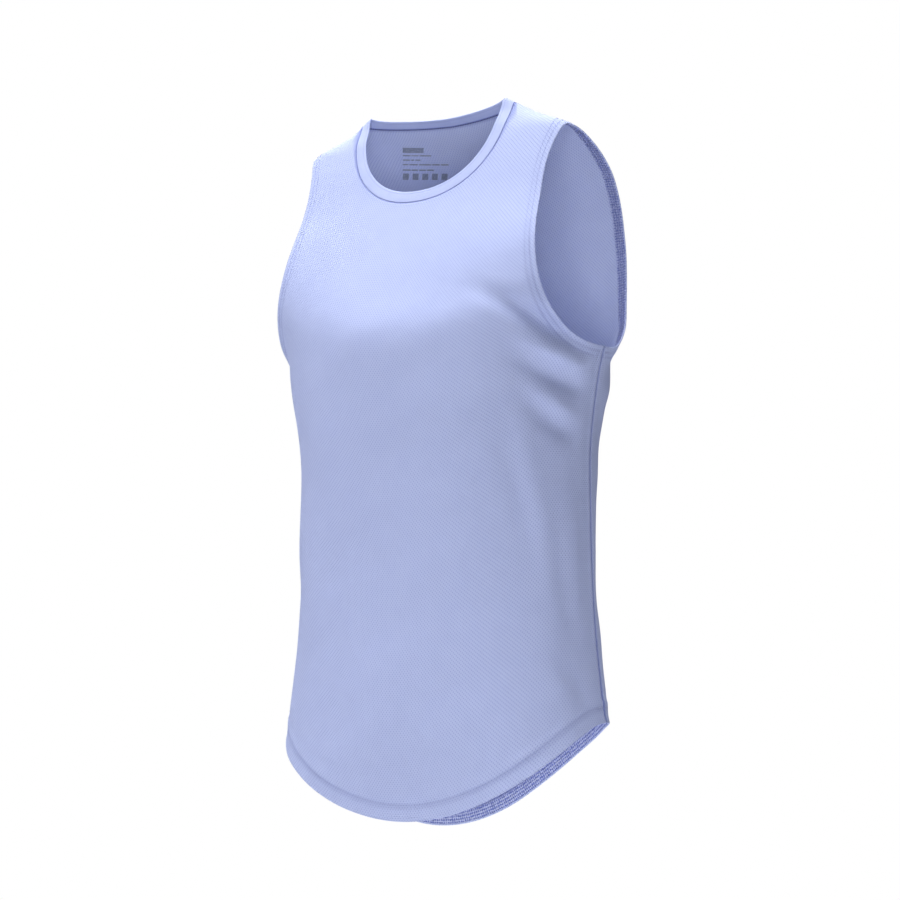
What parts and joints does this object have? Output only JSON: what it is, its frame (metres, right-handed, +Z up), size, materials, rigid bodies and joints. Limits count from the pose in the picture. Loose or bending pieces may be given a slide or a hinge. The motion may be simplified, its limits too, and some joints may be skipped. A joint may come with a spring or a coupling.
{
  "type": "running singlet",
  "caption": "Sleeveless knitted running top, filled out as on a wearer, with a round bound neck, wide turned armholes and a curved shirt-tail hem.",
  "frame": {"origin": "midway between the two high shoulder points, where the neckline meets the shoulder seams and the wearer's shoulders carry the garment", "axes": "+X to the wearer's left, +Y to the wearer's back, +Z up; the front faces -Y"},
  "size_m": [0.3618, 0.2191, 0.7237],
  "materials": {
    "knit": "periwinkle polyester knit with small diagonal eyelets, soft low sheen",
    "turned_knit": "the knit's wrong side, turned in and stitched flat",
    "binding": "plain fine rib of the same colour, smooth and matt"
  },
  "bodies": {
    "root": {"front_panel": "knit", "back_panel": "knit", "front_bottom_hem": "turned_knit", "back_bottom_hem": "turned_knit", "armhole_hem_left": "turned_knit", "armhole_hem_right": "turned_knit", "neck_binding": "binding"}
  },
  "joints": []
}
